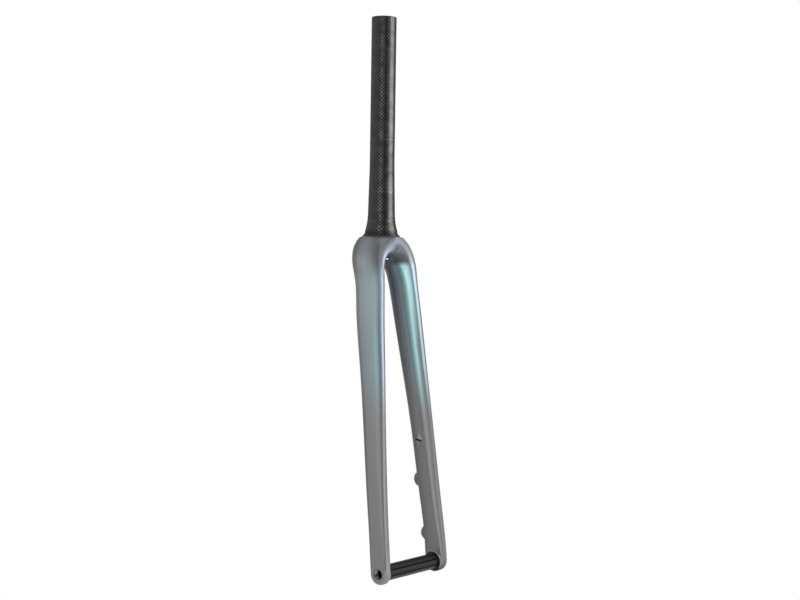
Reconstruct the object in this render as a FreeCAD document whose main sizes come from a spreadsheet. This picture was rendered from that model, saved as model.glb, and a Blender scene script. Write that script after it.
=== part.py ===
import FreeCAD, Part
import Sketcher
import math
import os

# Rigid carbon fork for a disc brake: moulded body, bonded metal inserts and the plastic
# spacer that keeps the two ends apart. Millimetres. The origin is on the steering axis at
# the height of the crown's flat top, Z runs up the steerer, X forward, Y to the brake side.


class Size:
    # a dimension, or dimensions worked together: text for the sheet and plain value

    def __init__(self, text, number):
        self.text = text
        self.number = number

    def join(self, sign, other):
        if isinstance(other, Size):
            text, number = other.text, other.number
        else:
            text, number = repr(float(other)), float(other)
        total = {"+": self.number + number, "-": self.number - number,
                 "*": self.number * number, "/": self.number / (number or 1.0)}[sign]
        return Size("(%s %s %s)" % (self.text, sign, text), total)

    def __add__(self, other):
        return self.join("+", other)

    def __sub__(self, other):
        return self.join("-", other)

    def __mul__(self, other):
        return self.join("*", other)

    def __truediv__(self, other):
        return self.join("/", other)

    def __neg__(self):
        return Size("(-1 * %s)" % self.text, -self.number)


zero = Size("0", 0.0)
doc = FreeCAD.newDocument("fork")
V = FreeCAD.Vector
sheet = doc.addObject("Spreadsheet::Sheet", "Dimensions")
d = {}


def cell(name, number, note):
    # one named dimension with its meaning beside it
    row = len(d) + 1
    sheet.set("A%d" % row, note)
    sheet.set("B%d" % row, str(number))
    sheet.setAlias("B%d" % row, name)
    d[name] = Size("Dimensions." + name, float(number))


# Main lengths
cell("steer_top", 280.0, "height of the cut steerer above the crown")
cell("axle_fwd", 53.7, "rake, wheel axis ahead of the steering axis")
cell("axle_drop", 418.4, "wheel axis below the crown")
cell("hub_half", 50.0, "half the width between the hub seats")

# Steerer, 1 1/4 inch at the top, growing into a moulded bearing seat
cell("steer_rad", 15.9, "outside radius of the straight steerer")
cell("straight_low", 92.0, "height where the straight part ends")
cell("taper_rad", 17.3, "radius at the foot of the taper")
cell("taper_low", 30.0, "height of the foot of the taper")
cell("seat_top_rad", 21.0, "small radius of the bearing seat cone")
cell("seat_top", 4.5, "height of the top of the seat cone")
cell("seat_rad", 24.2, "large radius of the bearing seat")
cell("seat_bow", 90.0, "radius of the bow between the taper and the cone")
cell("seat_rim", 1.0, "height of the seat's straight rim")
cell("core_deep", 12.0, "how far the steerer's foot goes into the crown")
cell("edge_cut", 0.5, "broken edge at the steerer's end")
cell("bore_rad", 13.2, "steerer bore at the top")
cell("bore_low_rad", 14.6, "steerer bore at the taper's foot")
cell("bore_floor", 14.0, "depth of the steerer bore below the crown's top")

# The axle's place that the stations below are drawn for; they move in step with the axle
cell("drawn_fwd", 53.7, "axle ahead of the steering axis")
cell("drawn_out", 55.5, "middle of a fork end from the middle plane")
cell("drawn_drop", 418.4, "axle below the crown's top")

# Leg stations, named by their place from the crown down to the axle
cell("one_drop", 50.0, "first leg station below the crown's top")
cell("one_fwd", 8.85, "its centre ahead of the steering axis")
cell("one_out", 32.4, "its centre from the middle plane")
cell("one_deep", 44.0, "leg depth, front to back")
cell("one_wide", 28.0, "leg width, side to side")
cell("two_drop", 90.0, "second leg station")
cell("two_fwd", 14.2, "centre forward")
cell("two_out", 35.95, "centre outward")
cell("two_deep", 40.8, "leg depth")
cell("two_wide", 24.8, "leg width")
cell("three_drop", 160.0, "third leg station")
cell("three_fwd", 23.3, "centre forward")
cell("three_out", 41.3, "centre outward")
cell("three_deep", 36.8, "leg depth")
cell("three_wide", 22.0, "leg width")
cell("four_drop", 250.0, "fourth leg station")
cell("four_fwd", 34.75, "centre forward")
cell("four_out", 47.9, "centre outward")
cell("four_deep", 32.4, "leg depth")
cell("four_wide", 19.2, "leg width")
cell("five_drop", 340.0, "fifth leg station")
cell("five_fwd", 45.6, "centre forward")
cell("five_out", 53.3, "centre outward")
cell("five_deep", 28.0, "leg depth")
cell("five_wide", 16.2, "leg width")
cell("tip_deep", 25.6, "leg depth at the axle")
cell("tip_wide", 11.8, "leg width at the axle")
cell("brake_more", 0.9, "extra depth and width of the brake leg")
cell("brake_more_low", 1.8, "the same at its fifth station")
cell("brake_more_tip", 3.0, "extra depth at the axle")

# Arch stations between the first leg station and the middle of the crown
cell("low_turn", 20.0, "tilt of the lowest arch station, degrees")
cell("low_fwd", 5.5, "centre forward")
cell("low_out", 31.05, "centre outward")
cell("low_drop", 35.5, "centre below the crown's top")
cell("low_deep", 47.6, "depth front to back")
cell("low_thick", 32.0, "thickness of the arch")
cell("mid_turn", 45.0, "tilt of the shoulder station")
cell("mid_fwd", 1.8, "centre forward")
cell("mid_out", 24.25, "centre outward")
cell("mid_drop", 20.75, "centre below the crown's top")
cell("mid_deep", 51.2, "depth front to back")
cell("mid_thick", 36.0, "thickness of the arch")
cell("high_turn", 68.0, "tilt of the highest arch station")
cell("high_fwd", 0.4, "centre forward")
cell("high_out", 12.5, "centre outward")
cell("high_drop", 11.25, "centre below the crown's top")
cell("high_deep", 53.2, "depth front to back")
cell("high_thick", 37.2, "thickness of the arch")
cell("top_drop", 7.5, "middle section's centre below the crown's top")
cell("top_deep", 54.0, "depth front to back")
cell("top_thick", 39.0, "thickness before the flat is cut")

# Hollow inside the legs and the crown
cell("wall", 2.8, "laminate thickness of the legs")
cell("low_hollow", 24.6, "thickness of the hollow at the lowest arch station")
cell("mid_hollow", 25.0, "the same at the shoulder")
cell("mid_hollow_drop", 21.5, "its centre below the crown's top")
cell("high_hollow", 19.0, "the same at the highest arch station")
cell("high_hollow_drop", 15.0, "its centre below the crown's top")
cell("top_hollow", 16.0, "the same in the middle of the crown")
cell("top_hollow_drop", 13.5, "its centre below the crown's top")
cell("crown_wall", 6.5, "laminate at the front and back of the crown")
cell("plain_end_drop", 385.0, "depth where the plain leg's hollow ends")
cell("plain_end_fwd", 50.6, "centre forward at that end")
cell("plain_end_out", 55.1, "centre outward at that end")
cell("plain_end_deep", 21.0, "depth of the hollow at that end")
cell("plain_end_wide", 8.6, "width of the hollow at that end")

# Fork ends
cell("end_thick", 11.0, "thickness of a fork end from the hub seat outwards")
cell("plain_end_rad", 13.3, "radius of the plain leg's end")
cell("brake_end_rad", 15.0, "radius of the brake leg's end")
cell("brake_end_fwd", 1.0, "its centre ahead of the axle")
cell("brake_end_up", 2.0, "its centre above the axle")
cell("end_round", 2.2, "rounding of the outer rim")
cell("ledge", 1.5, "height of the ledge round the hub seat")
cell("plain_ledge_rad", 11.7, "outside radius of the plain side's ledge")
cell("brake_ledge_rad", 13.6, "outside radius of the brake side's ledge")
cell("plain_seat_rad", 10.3, "hub seat radius on the plain side")
cell("brake_seat_rad", 12.2, "hub seat radius on the brake side, clears the rotor ring")
cell("slot_half", 10.3, "half width of the way in for the hub")
cell("insert_rad", 8.5, "outside radius of the axle inserts")
cell("thread_hole", 6.0, "radius of the open hole in the plain end, for a 12 mm axle")
cell("plain_hole", 6.1, "radius of the clear hole in the brake end")
cell("mouth_rad", 6.5, "radius of the hole through the plain end's outer skin")
cell("skin", 1.8, "thickness of the outer skin over the threaded insert")

# Brake lugs, two in a straight row 70 mm apart on the back of the brake leg
cell("lug_tilt", 9.6, "lean of the lug plane from the steering axis, degrees")
cell("lug_back", 19.1, "middle of the lug plane behind the centre of the fifth station")
cell("lug_side", 0.2, "middle of the lug plane outside that centre")
cell("lug_rise", 68.0, "middle of the lug plane above the axle")
cell("lug_pitch", 70.0, "distance between the two lugs")
cell("lug_tip_long", 13.0, "lug length at its flat")
cell("lug_tip_wide", 10.6, "lug width at its flat")
cell("lug_root_long", 22.0, "lug length inside the leg")
cell("lug_root_wide", 14.0, "lug width inside the leg")
cell("lug_high", 9.0, "height of a lug from root to flat")
cell("lug_insert_rad", 3.6, "outside radius of a lug insert")
cell("lug_insert_long", 12.0, "length of a lug insert")
cell("lug_thread", 2.1, "radius of a lug's tapped hole, M5")

# Hose port on the inner side of the brake leg
cell("hose_below", 13.0, "mouth below the fourth station")
cell("hose_ahead", 0.95, "mouth ahead of that station's centre")
cell("hose_in", 7.4, "mouth inside that station's centre")
cell("hose_rad", 3.4, "radius of the hose duct")
cell("hood_rad", 5.0, "outside radius of the hood")
cell("hood_long", 16.0, "length of the hood above the mouth")
cell("duct_long", 22.0, "length of the duct above the mouth")
cell("scoop_long", 13.0, "length of the scoop below the mouth")
cell("run_out", 4.0, "length of the run-out below the scoop")
cell("run_out_more", 0.6, "run-out radius over the duct's")
cell("hose_lean", 15.5, "lean of the duct away from the leg, degrees")
cell("hose_rake", 7.3, "lean of the duct along the leg's rake, degrees")

# Insert in the crown's floor
cell("floor_fwd", 3.0, "insert axis forward")
cell("floor_drop", 27.2, "seat of its flange below the crown's top")
cell("floor_flange_rad", 9.0, "flange radius")
cell("floor_flange", 2.0, "flange thickness")
cell("floor_rad", 6.0, "radius of its barrel")
cell("floor_long", 8.0, "length of its barrel")
cell("floor_gap", 0.2, "clearance round its flange")
cell("floor_thread", 2.1, "radius of its tapped hole, M5")

# Spacer between the fork ends
cell("spacer_rad", 10.0, "outside radius")
cell("spacer_bore", 6.3, "bore radius")
cell("flute_rad", 1.3, "radius of a flute")
cell("flute_in", 0.4, "flute centre outside the spacer's surface")
cell("flute_plain", 4.0, "plain length at either end")
cell("flute_turn", 29.0, "turn of the first flute, degrees")
cell("flute_count", 8, "number of flutes")

doc.recompute()


# Helpers for the features

def body_of(label):
    body = doc.addObject("PartDesign::Body", label)
    body.Label = label
    return body


def plane_of(body, role):
    for feature in body.Origin.OriginFeatures:
        if feature.Role == role:
            return feature
    raise RuntimeError("no plane " + role)


def set_down(item, body, role, at, turns=()):
    # rests an item on a base plane, moved by named dimensions and turned about X, then Y
    item.AttachmentSupport = [(plane_of(body, role), "")]
    item.MapMode = "FlatFace"
    for way, size in zip("xyz", at):
        item.setExpression("AttachmentOffset.Base." + way, size.text)
    for way, size in turns:
        item.setExpression("AttachmentOffset.Rotation." + way, size.text)


def rule(sketch, name, size, *what):
    # a dimension of the sketch bound to the sheet
    index = sketch.addConstraint(Sketcher.Constraint(*what, size.number))
    sketch.renameConstraint(index, name)
    sketch.setExpression("Constraints." + name, size.text)


def oval(body, name, at, deep, wide, turns=()):
    # ellipse about the sketch's own origin, its long way along the sketch's x
    sketch = body.newObject("Sketcher::SketchObject", name)
    set_down(sketch, body, "XY_Plane", at, turns)
    end = V(deep.number / 2, 0, 0)
    side = V(0, wide.number / 2, 0)
    main = sketch.addGeometry(Part.Ellipse(end, side, V(0, 0, 0)), False)
    sketch.exposeInternalGeometry(main)
    sketch.addConstraint(Sketcher.Constraint("Coincident", main, 3, -1, 1))
    sketch.addConstraint(Sketcher.Constraint("Horizontal", main + 1))
    rule(sketch, "deep", deep, "Distance", main + 1)
    rule(sketch, "wide", wide, "Distance", main + 2)
    return sketch


def outline(body, name, role, at, corners, bows=()):
    # closed outline; every corner is held by named dimensions, a bow by its radius
    sketch = body.newObject("Sketcher::SketchObject", name)
    set_down(sketch, body, role, at)
    spots = [V(x.number, y.number, 0) for x, y in corners]
    count = len(spots)
    bows = dict(bows)
    for i in range(count):
        a = spots[i]
        b = spots[(i + 1) % count]
        if i in bows:
            radius, side = bows[i]
            sketch.addGeometry(bow(a, b, radius.number, side), False)
        else:
            sketch.addGeometry(Part.LineSegment(a, b), False)
    heads = []
    for i in range(count):
        start = sketch.Geometry[i].StartPoint
        heads.append(1 if start.distanceToPoint(spots[i]) < 1e-6 else 2)
    for i in range(count):
        follow = (i + 1) % count
        ends = (i, 3 - heads[i], follow, heads[follow])
        sketch.addConstraint(Sketcher.Constraint("Coincident", *ends))
    for i in range(count):
        x, y = corners[i]
        head = heads[i]
        if abs(x.number) < 1e-9:
            sketch.addConstraint(Sketcher.Constraint("PointOnObject", i, head, -2))
        else:
            rule(sketch, "x%d" % i, x, "DistanceX", -1, 1, i, head)
        if abs(y.number) < 1e-9:
            sketch.addConstraint(Sketcher.Constraint("PointOnObject", i, head, -1))
        else:
            rule(sketch, "y%d" % i, y, "DistanceY", -1, 1, i, head)
        if i in bows:
            rule(sketch, "bow%d" % i, bows[i][0], "Radius", i)
    return sketch


def bow(a, b, radius, side):
    # arc from a to b; side 1 or -1 tells to which hand of the chord it bulges
    half = a.distanceToPoint(b) / 2
    middle = (a + b) * 0.5
    along = (b - a).normalize()
    across = V(-along.y, along.x, 0) * side
    rise = radius - math.sqrt(radius * radius - half * half)
    crest = middle + across * rise
    left_hand = (crest - a).cross(b - crest).z > 0
    return Part.Arc(a, crest, b) if left_hand else Part.Arc(b, crest, a)


def loft(body, kind, name, sections):
    item = body.newObject("PartDesign::" + kind, name)
    item.Profile = sections[0]
    item.Sections = sections[1:]
    item.Ruled = False
    item.Closed = False
    return item


def turned(body, kind, name, sketch):
    # a full turn about the sketch's own upright axis
    item = body.newObject("PartDesign::" + kind, name)
    item.Profile = sketch
    item.ReferenceAxis = (sketch, ["V_Axis"])
    item.Angle = 360
    return item


def rod(body, kind, name, at, radius, length, turns=()):
    item = body.newObject("PartDesign::" + kind, name)
    set_down(item, body, "XY_Plane", at, turns)
    item.setExpression("Radius", radius.text)
    item.setExpression("Height", length.text)
    return item


def block(body, kind, name, at, long_x, long_y, long_z):
    item = body.newObject("PartDesign::" + kind, name)
    set_down(item, body, "XY_Plane", at)
    item.setExpression("Length", long_x.text)
    item.setExpression("Width", long_y.text)
    item.setExpression("Height", long_z.text)
    return item


def flat(number):
    return Size(repr(float(number)), float(number))


def sine(size):
    return Size("sin(%s * 1 deg)" % size.text, math.sin(math.radians(size.number)))


def cosine(size):
    return Size("cos(%s * 1 deg)" % size.text, math.cos(math.radians(size.number)))


half_turn = flat(180)
quarter_turn = flat(90)

# How far the axle's place differs from the drawn one, as factors
tip_out = d["hub_half"] + d["end_thick"] * 0.5
rake = d["axle_fwd"] / d["drawn_fwd"]
spread = tip_out / d["drawn_out"]
stretch = d["axle_drop"] / d["drawn_drop"]

# The moulded body: two legs and the arch between them, swept through oval stations

fork = body_of("fork_body")


def leg_spot(key, side):
    # centre of a leg station
    return (d[key + "_fwd"] * rake, d[key + "_out"] * spread * side,
            -d[key + "_drop"] * stretch)


def leg_station(name, side, key, more, less):
    # level section of a leg; less is taken off all round for the hollow
    at = leg_spot(key, side)
    deep = d[key + "_deep"] + more - less * 2
    wide = d[key + "_wide"] + more - less * 2
    turns = [("Roll", flat(0 if side > 0 else 180))]
    return oval(fork, name, at, deep, wide, turns)


def arch_station(name, side, key, deep, thick, drop):
    # tilted section between the leg and the middle of the crown
    at = (d[key + "_fwd"], d[key + "_out"] * spread * side, -drop)
    turn = d[key + "_turn"] if side > 0 else half_turn - d[key + "_turn"]
    return oval(fork, name, at, deep, thick, [("Roll", turn)])


def leg_tip(name, side, ahead, more):
    at = (d["axle_fwd"] + ahead, tip_out * side, -d["axle_drop"])
    turns = [("Roll", flat(0 if side > 0 else 180))]
    return oval(fork, name, at, d["tip_deep"] + more, d["tip_wide"], turns)


def outer_side(side):
    tag = "Brake" if side > 0 else "Plain"
    more = d["brake_more"] if side > 0 else zero
    more_low = d["brake_more_low"] if side > 0 else zero
    more_tip = d["brake_more_tip"] if side > 0 else zero
    ahead = d["brake_end_fwd"] if side > 0 else zero
    row = [leg_tip(tag + "Tip", side, ahead, more_tip)]
    row.append(leg_station(tag + "Five", side, "five", more_low, zero))
    for key in ("four", "three", "two", "one"):
        row.append(leg_station(tag + key.capitalize(), side, key, more, zero))
    for key in ("low", "mid", "high"):
        name = tag + "Arch" + key.capitalize()
        deep = d[key + "_deep"]
        row.append(arch_station(name, side, key, deep, d[key + "_thick"], d[key + "_drop"]))
    return row


top_at = (zero, zero, -d["top_drop"])
crown_top = oval(fork, "CrownMiddle", top_at, d["top_deep"], d["top_thick"],
                 [("Roll", quarter_turn)])
brake_row = outer_side(1)
plain_row = outer_side(-1)
loft(fork, "AdditiveLoft", "BrakeLeg", brake_row[:6])
loft(fork, "AdditiveLoft", "Arch", brake_row[5:] + [crown_top] + plain_row[:4:-1])
loft(fork, "AdditiveLoft", "PlainLeg", plain_row[:6])

# Flat top of the crown
half_long = d["top_deep"]
half_wide = tip_out
block(fork, "SubtractiveBox", "CrownFlat", (-half_long, -half_wide, zero),
      half_long * 2, half_wide * 2, d["top_thick"])

# Steerer: straight, then a taper, a bow and the cone of the bearing seat
corners = [(zero, -d["core_deep"]),
           (d["seat_rad"], -d["core_deep"]),
           (d["seat_rad"], d["seat_rim"]),
           (d["seat_top_rad"], d["seat_top"]),
           (d["taper_rad"], d["taper_low"]),
           (d["steer_rad"], d["straight_low"]),
           (d["steer_rad"], d["steer_top"] - d["edge_cut"]),
           (d["steer_rad"] - d["edge_cut"], d["steer_top"]),
           (zero, d["steer_top"])]
steer = outline(fork, "SteererOutline", "XZ_Plane", (zero, zero, zero), corners,
                {3: (d["seat_bow"], 1)}.items())
turned(fork, "Revolution", "Steerer", steer)

# Fork ends: round discs, and a low ledge round each hub seat

out_left = [("Roll", -quarter_turn)]
out_right = [("Roll", quarter_turn)]


def fork_end(tag, side, rad, ledge_rad, ahead, above):
    inner = d["hub_half"] * side
    flank = (d["hub_half"] + d["ledge"] * 0.5) * side
    shoulder = (d["hub_half"] + d["end_thick"] - d["end_round"]) * side
    outer = (d["hub_half"] + d["end_thick"]) * side
    corners = [(zero, inner),
               (d[rad] - d["ledge"], inner),
               (d[rad], flank),
               (d[rad], shoulder),
               (d[rad] - d["end_round"], outer),
               (zero, outer)]
    at = (d["axle_fwd"] + ahead, zero, -d["axle_drop"] + above)
    bows = {3: (d["end_round"] * 1.001, -side)}
    sketch = outline(fork, tag + "EndOutline", "XY_Plane", at, corners, bows.items())
    turned(fork, "Revolution", tag + "End", sketch)
    start = (d["hub_half"] - d["ledge"]) * side
    at = (d["axle_fwd"], start, -d["axle_drop"])
    rod(fork, "AdditiveCylinder", tag + "Ledge", at, d[ledge_rad], d["ledge"] * 2,
        out_left if side > 0 else out_right)


fork_end("Brake", 1, "brake_end_rad", "brake_ledge_rad", d["brake_end_fwd"], d["brake_end_up"])
fork_end("Plain", -1, "plain_end_rad", "plain_ledge_rad", zero, zero)

# Brake lugs, one above and one below the middle of the lug plane
lean = d["lug_tilt"]


def lug_spot(step, deep):
    # a point on a lug's own axis, deep below its flat
    along = d["lug_pitch"] * (0.5 * step)
    centre = leg_spot("five", 1)
    fwd = centre[0] - d["lug_back"] + along * sine(lean) + deep * cosine(lean)
    high = d["lug_rise"] - d["axle_drop"] - along * cosine(lean) + deep * sine(lean)
    return (fwd, centre[1] + d["lug_side"], high)


for tag, step in (("Upper", -1), ("Lower", 1)):
    turns = [("Pitch", quarter_turn - lean), ("Roll", half_turn)]
    root = oval(fork, tag + "LugRoot", lug_spot(step, d["lug_high"]),
                d["lug_root_long"], d["lug_root_wide"], turns)
    tip = oval(fork, tag + "LugTip", lug_spot(step, zero),
               d["lug_tip_long"], d["lug_tip_wide"], turns)
    loft(fork, "AdditiveLoft", tag + "Lug", [root, tip])

# Hood over the hose port
four = leg_spot("four", 1)
mouth = (four[0] + d["hose_ahead"], four[1] - d["hose_in"], four[2] - d["hose_below"])
up_duct = [("Pitch", -d["hose_rake"]), ("Roll", -d["hose_lean"])]
rod(fork, "AdditiveCylinder", "HoseHood", mouth, d["hood_rad"], d["hood_long"], up_duct)

# The hollow: down the plain leg to its end, down the brake leg as far as the hose port


def hollow_side(side):
    tag = "BrakeHollow" if side > 0 else "PlainHollow"
    more = d["brake_more"] if side > 0 else zero
    wall = d["wall"]
    row = []
    if side < 0:
        at = leg_spot("plain_end", side)
        row.append(oval(fork, tag + "End", at, d["plain_end_deep"], d["plain_end_wide"],
                        [("Roll", half_turn)]))
        row.append(leg_station(tag + "Five", side, "five", zero, wall))
    for key in ("four", "three", "two", "one"):
        row.append(leg_station(tag + key.capitalize(), side, key, more, wall))
    drops = {"low": d["low_drop"], "mid": d["mid_hollow_drop"], "high": d["high_hollow_drop"]}
    for key in ("low", "mid", "high"):
        deep = d[key + "_deep"] - d["crown_wall"] * 2
        if key == "low":
            deep = d[key + "_deep"] - wall * 2
        name = tag + "Arch" + key.capitalize()
        row.append(arch_station(name, side, key, deep, d[key + "_hollow"], drops[key]))
    return row


middle = oval(fork, "HollowMiddle", (zero, zero, -d["top_hollow_drop"]),
              d["top_deep"] - d["crown_wall"] * 2, d["top_hollow"], [("Roll", quarter_turn)])
brake_hollow = hollow_side(1)
plain_hollow = hollow_side(-1)
loft(fork, "SubtractiveLoft", "BrakeHollow", brake_hollow[:4])
loft(fork, "SubtractiveLoft", "CrownHollow", brake_hollow[3:] + [middle] + plain_hollow[:4:-1])
loft(fork, "SubtractiveLoft", "PlainHollow", plain_hollow[:6])

# Steerer bore, open into the hollow of the crown
corners = [(zero, -d["bore_floor"]),
           (d["bore_low_rad"], -d["bore_floor"]),
           (d["bore_low_rad"], d["taper_low"]),
           (d["bore_rad"], d["straight_low"]),
           (d["bore_rad"], d["steer_top"] + 1),
           (zero, d["steer_top"] + 1)]
bore = outline(fork, "BoreOutline", "XZ_Plane", (zero, zero, zero), corners)
turned(fork, "Groove", "SteererBore", bore)

# Hub seats, the open way into them, and the bores for the axle inserts
deep_in = flat(12)


def end_cuts(tag, side, seat_rad):
    turns = out_left if side > 0 else out_right
    inner = (d["hub_half"] - deep_in) * side
    at = (d["axle_fwd"], inner, -d["axle_drop"])
    rod(fork, "SubtractiveCylinder", tag + "Seat", at, d[seat_rad], deep_in, turns)
    side_y = inner if side > 0 else -d["hub_half"]
    at = (d["axle_fwd"] - d["slot_half"], side_y, -d["axle_drop"] - flat(25))
    block(fork, "SubtractiveBox", tag + "WayIn", at, d["slot_half"] * 2, deep_in, flat(25))


end_cuts("Brake", 1, "brake_seat_rad")
end_cuts("Plain", -1, "plain_seat_rad")
at = (d["axle_fwd"], d["hub_half"], -d["axle_drop"])
rod(fork, "SubtractiveCylinder", "BrakeInsertBore", at, d["insert_rad"],
    d["end_thick"] + 1, out_left)
at = (d["axle_fwd"], -d["hub_half"], -d["axle_drop"])
rod(fork, "SubtractiveCylinder", "PlainInsertBore", at, d["insert_rad"],
    d["end_thick"] - d["skin"], out_right)
rod(fork, "SubtractiveCylinder", "PlainMouth", at, d["mouth_rad"],
    d["end_thick"] + 1, out_right)

# Bores for the lug inserts
for tag, step in (("Upper", -1), ("Lower", 1)):
    inward = [("Pitch", quarter_turn - lean)]
    rod(fork, "SubtractiveCylinder", tag + "LugBore", lug_spot(step, zero),
        d["lug_insert_rad"], d["lug_insert_long"], inward)

# Hose duct, from below the mouth up into the hollow, and a wider run-out at its lower end


def duct_spot(below):
    flat_part = cosine(d["hose_lean"]) * below
    return (mouth[0] + sine(d["hose_rake"]) * flat_part,
            mouth[1] - sine(d["hose_lean"]) * below,
            mouth[2] - cosine(d["hose_rake"]) * flat_part)


rod(fork, "SubtractiveCylinder", "HoseDuct", duct_spot(d["scoop_long"]), d["hose_rad"],
    d["duct_long"] + d["scoop_long"], up_duct)
rod(fork, "SubtractiveCylinder", "RunOut", duct_spot(d["scoop_long"] + d["run_out"]),
    d["hose_rad"] + d["run_out_more"], d["run_out"], up_duct)

# Bore and spot face for the insert in the crown's floor
at = (d["floor_fwd"], zero, -d["floor_drop"])
rod(fork, "SubtractiveCylinder", "FloorBore", at, d["floor_rad"], d["floor_long"])
at = (d["floor_fwd"], zero, -d["floor_drop"] - deep_in)
rod(fork, "SubtractiveCylinder", "FloorFace", at, d["floor_flange_rad"] + d["floor_gap"],
    deep_in)

# Bonded metal inserts


def axle_insert(label, side, length, hole):
    body = body_of(label)
    turns = out_left if side > 0 else out_right
    at = (d["axle_fwd"], d["hub_half"] * side, -d["axle_drop"])
    rod(body, "AdditiveCylinder", label + "_stock", at, d["insert_rad"], length, turns)
    rod(body, "SubtractiveCylinder", label + "_hole", at, d[hole], length, turns)
    return body


axle_insert("brake_axle_insert", 1, d["end_thick"], "plain_hole")
axle_insert("plain_axle_insert", -1, d["end_thick"] - d["skin"], "thread_hole")

for tag, step in (("upper", -1), ("lower", 1)):
    body = body_of(tag + "_lug_insert")
    inward = [("Pitch", quarter_turn - lean)]
    spot = lug_spot(step, zero)
    rod(body, "AdditiveCylinder", tag + "_stock", spot, d["lug_insert_rad"],
        d["lug_insert_long"], inward)
    rod(body, "SubtractiveCylinder", tag + "_hole", spot, d["lug_thread"],
        d["lug_insert_long"], inward)

body = body_of("crown_insert")
at = (d["floor_fwd"], zero, -d["floor_drop"] - d["floor_flange"])
rod(body, "AdditiveCylinder", "floor_flange", at, d["floor_flange_rad"], d["floor_flange"])
rod(body, "AdditiveCylinder", "floor_barrel", at, d["floor_rad"],
    d["floor_flange"] + d["floor_long"])
rod(body, "SubtractiveCylinder", "floor_hole", at, d["floor_thread"],
    d["floor_flange"] + d["floor_long"])

# Spacer: a tube between the hub seats with flutes that stop short of its ends
spacer = body_of("spacer")
at = (d["axle_fwd"], -d["hub_half"], -d["axle_drop"])
rod(spacer, "AdditiveCylinder", "SpacerTube", at, d["spacer_rad"], d["hub_half"] * 2, out_left)
rod(spacer, "SubtractiveCylinder", "SpacerBore", at, d["spacer_bore"], d["hub_half"] * 2,
    out_left)
reach = d["spacer_rad"] + d["flute_in"]
for i in range(int(d["flute_count"].number)):
    angle = d["flute_turn"] + flat(360.0 / d["flute_count"].number * i)
    at = (d["axle_fwd"] + reach * cosine(angle),
          -d["hub_half"] + d["flute_plain"],
          -d["axle_drop"] + reach * sine(angle))
    rod(spacer, "SubtractiveCylinder", "Flute%d" % (i + 1), at, d["flute_rad"],
        (d["hub_half"] - d["flute_plain"]) * 2, out_left)

doc.recompute()

names = ["fork_body", "brake_axle_insert", "plain_axle_insert", "upper_lug_insert",
         "lower_lug_insert", "crown_insert", "spacer"]
for item in doc.Objects:
    if "Invalid" in item.State or "Error" in item.State:
        raise RuntimeError("feature failed: " + item.Name)
os.makedirs("parts", exist_ok=True)
for name in names:
    shape = doc.getObject(name).Shape
    if shape.isNull() or not shape.isValid():
        raise RuntimeError("bad solid: " + name)
    print(name, round(shape.Volume, 1), len(shape.Solids))
    shape.exportStep("parts/%s.step" % name)
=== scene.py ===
import bpy
import bmesh
import math
import numpy as np
from mathutils import Matrix, Vector


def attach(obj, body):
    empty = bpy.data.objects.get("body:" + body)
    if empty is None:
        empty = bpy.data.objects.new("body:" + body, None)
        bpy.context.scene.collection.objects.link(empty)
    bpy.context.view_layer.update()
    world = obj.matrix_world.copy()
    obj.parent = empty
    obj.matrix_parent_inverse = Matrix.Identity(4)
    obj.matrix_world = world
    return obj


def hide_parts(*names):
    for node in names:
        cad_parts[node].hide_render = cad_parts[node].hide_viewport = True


# Rigid carbon fork seen from its plain side, a little ahead of square. Lengths in the
# helpers are millimetres in the row frame; meshes are made in metres.

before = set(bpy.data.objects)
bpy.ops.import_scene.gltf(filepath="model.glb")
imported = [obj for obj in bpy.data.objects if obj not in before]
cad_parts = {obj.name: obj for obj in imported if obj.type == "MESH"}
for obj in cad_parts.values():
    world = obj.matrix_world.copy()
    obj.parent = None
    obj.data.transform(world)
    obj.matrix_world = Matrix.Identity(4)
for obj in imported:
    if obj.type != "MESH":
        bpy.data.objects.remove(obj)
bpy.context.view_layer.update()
MM = 0.001

AXLE = np.array([53.7, 0.0, -418.4])
HUB = 50.0
END = 11.0
LEDGE = 1.5
SKIN = 1.8


# ---- curves and meshes ----

def spline(knots, rows, at):
    # natural cubic through rows of values, chord lengths as knots
    knots = np.asarray(knots, float)
    rows = np.asarray(rows, float)
    n = len(knots)
    gap = np.diff(knots)
    grid = np.zeros((n, n))
    right = np.zeros_like(rows)
    grid[0, 0] = grid[-1, -1] = 1.0
    for i in range(1, n - 1):
        grid[i, i - 1] = gap[i - 1]
        grid[i, i] = 2 * (gap[i - 1] + gap[i])
        grid[i, i + 1] = gap[i]
        right[i] = 6 * ((rows[i + 1] - rows[i]) / gap[i] - (rows[i] - rows[i - 1]) / gap[i - 1])
    bend = np.linalg.solve(grid, right)
    at = np.asarray(at, float)
    k = np.clip(np.searchsorted(knots, at) - 1, 0, n - 2)
    h = gap[k][:, None]
    a = ((knots[k + 1] - at)[:, None]) / h
    b = 1 - a
    return (a * rows[k] + b * rows[k + 1]
            + ((a ** 3 - a) * bend[k] + (b ** 3 - b) * bend[k + 1]) * h * h / 6)


def new_mesh(name, verts, faces, smooth=True, merge=0.0):
    mesh = bpy.data.meshes.new(name)
    mesh.from_pydata([tuple(v) for v in np.asarray(verts) * MM], [], faces)
    if merge:
        work = bmesh.new()
        work.from_mesh(mesh)
        bmesh.ops.remove_doubles(work, verts=work.verts, dist=merge * MM)
        bmesh.ops.dissolve_degenerate(work, edges=work.edges, dist=1e-7)
        bmesh.ops.recalc_face_normals(work, faces=work.faces)
        work.to_mesh(mesh)
        work.free()
    mesh.update()
    item = bpy.data.objects.new(name, mesh)
    bpy.context.scene.collection.objects.link(item)
    if smooth:
        mesh.shade_smooth()
    return item


def basis(z_way):
    z = Vector(z_way).normalized()
    side = Vector((1, 0, 0)) if abs(z.x) < 0.9 else Vector((0, 1, 0))
    x = (side - z * side.dot(z)).normalized()
    y = z.cross(x)
    return np.array([x, y, z]).T


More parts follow.
